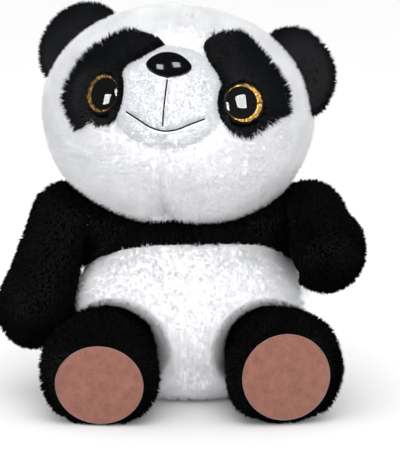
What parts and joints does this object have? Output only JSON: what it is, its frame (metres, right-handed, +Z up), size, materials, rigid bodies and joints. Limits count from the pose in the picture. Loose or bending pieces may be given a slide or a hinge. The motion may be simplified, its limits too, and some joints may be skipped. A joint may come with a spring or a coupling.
{
  "type": "plush panda",
  "caption": "Sitting stuffed toy panda with long fur, domed glitter eyes, a shiny nose, stitched smile, suede foot pads and soft limbs that bend at their seams",
  "frame": {"origin": "on the floor under the middle of the body, on the underside of the seat panel", "axes": "+Z up; the toy faces -Y; +X is the toy's own left"},
  "size_m": [0.2634, 0.193, 0.2834],
  "materials": {
    "white_fur": "long white pile, soft and slightly clumped",
    "black_fur": "long black pile with a cool sheen at the tips",
    "stuffing": "white polyester fibre fill",
    "sole_suede": "short brushed terracotta suede cloth",
    "black_plastic": "moulded, polished",
    "clear_plastic": "clear polished dome",
    "gold_glitter": "gold flakes set in clear resin",
    "washer_plastic": "moulded, natural white",
    "black_thread": "twisted embroidery thread",
    "label_satin": "blank woven satin tape",
    "pellets": "cloth bag of plastic pellets"
  },
  "bodies": {
    "torso": {"belly_left_panel": "white_fur", "belly_right_panel": "white_fur", "chest_yoke": "black_fur", "back_yoke": "black_fur", "lower_back_left_panel": "white_fur", "lower_back_right_panel": "white_fur", "seat_panel": "white_fur", "torso_stuffing": "stuffing", "pellet_bag": "pellets", "tail_cover": "white_fur", "tail_stuffing": "stuffing", "care_label": "label_satin"},
    "neck": {"neck_cover": "black_fur", "neck_stuffing": "stuffing"},
    "head": {"head_stuffing": "stuffing", "muzzle_cover": "white_fur", "muzzle_stuffing": "stuffing", "nose": "black_plastic", "nose_washer": "washer_plastic", "philtrum_thread": "black_thread", "mouth_thread": "black_thread", "face_left_panel": "white_fur", "head_back_left_panel": "white_fur", "eye_patch_left": "black_fur", "ear_left_front": "black_fur", "ear_left_back": "black_fur", "eye_left_back": "black_plastic", "eye_left_iris": "gold_glitter", "eye_left_pupil": "black_plastic", "eye_left_lens": "clear_plastic", "eye_left_washer": "washer_plastic", "face_right_panel": "white_fur", "head_back_right_panel": "white_fur", "eye_patch_right": "black_fur", "ear_right_front": "black_fur", "ear_right_back": "black_fur", "eye_right_back": "black_plastic", "eye_right_iris": "gold_glitter", "eye_right_pupil": "black_plastic", "eye_right_lens": "clear_plastic", "eye_right_washer": "washer_plastic"},
    "arm_left": {"arm_left_outer_panel": "black_fur", "arm_left_inner_panel": "black_fur", "arm_left_stuffing": "stuffing"},
    "leg_left": {"leg_left_outer_panel": "black_fur", "leg_left_inner_panel": "black_fur", "leg_left_sole": "sole_suede", "leg_left_stuffing": "stuffing"},
    "arm_right": {"arm_right_outer_panel": "black_fur", "arm_right_inner_panel": "black_fur", "arm_right_stuffing": "stuffing"},
    "leg_right": {"leg_right_outer_panel": "black_fur", "leg_right_inner_panel": "black_fur", "leg_right_sole": "sole_suede", "leg_right_stuffing": "stuffing"}
  },
  "joints": [
    {"name": "neck_turn", "type": "hinge", "parent": "torso", "child": "neck", "pos_m": [-0.005, 0, 0.128], "axis": [0, 0, 1], "range_deg": [-20, 20], "stiffness_Nm_per_rad": 0.6},
    {"name": "neck_nod", "type": "hinge", "parent": "neck", "child": "head", "pos_m": [-0.005, 0, 0.128], "axis": [1, 0, 0], "range_deg": [-10, 6], "stiffness_Nm_per_rad": 2.5},
    {"name": "arm_left_swing", "type": "hinge", "parent": "torso", "child": "arm_left", "pos_m": [0.0743, -0.005, 0.124], "axis": [0.9863, 0, 0.165], "range_deg": [-3, 55], "stiffness_Nm_per_rad": 0.3},
    {"name": "arm_right_swing", "type": "hinge", "parent": "torso", "child": "arm_right", "pos_m": [-0.0743, -0.005, 0.124], "axis": [0.9863, 0, -0.165], "range_deg": [-58, 0], "stiffness_Nm_per_rad": 0.3},
    {"name": "leg_left_splay", "type": "hinge", "parent": "torso", "child": "leg_left", "pos_m": [0.056, -0.022, 0.0396], "axis": [0, 0, 1], "range_deg": [-15, 0], "stiffness_Nm_per_rad": 0.6},
    {"name": "leg_right_splay", "type": "hinge", "parent": "torso", "child": "leg_right", "pos_m": [-0.056, -0.022, 0.0396], "axis": [0, 0, 1], "range_deg": [0, 15], "stiffness_Nm_per_rad": 0.6}
  ]
}
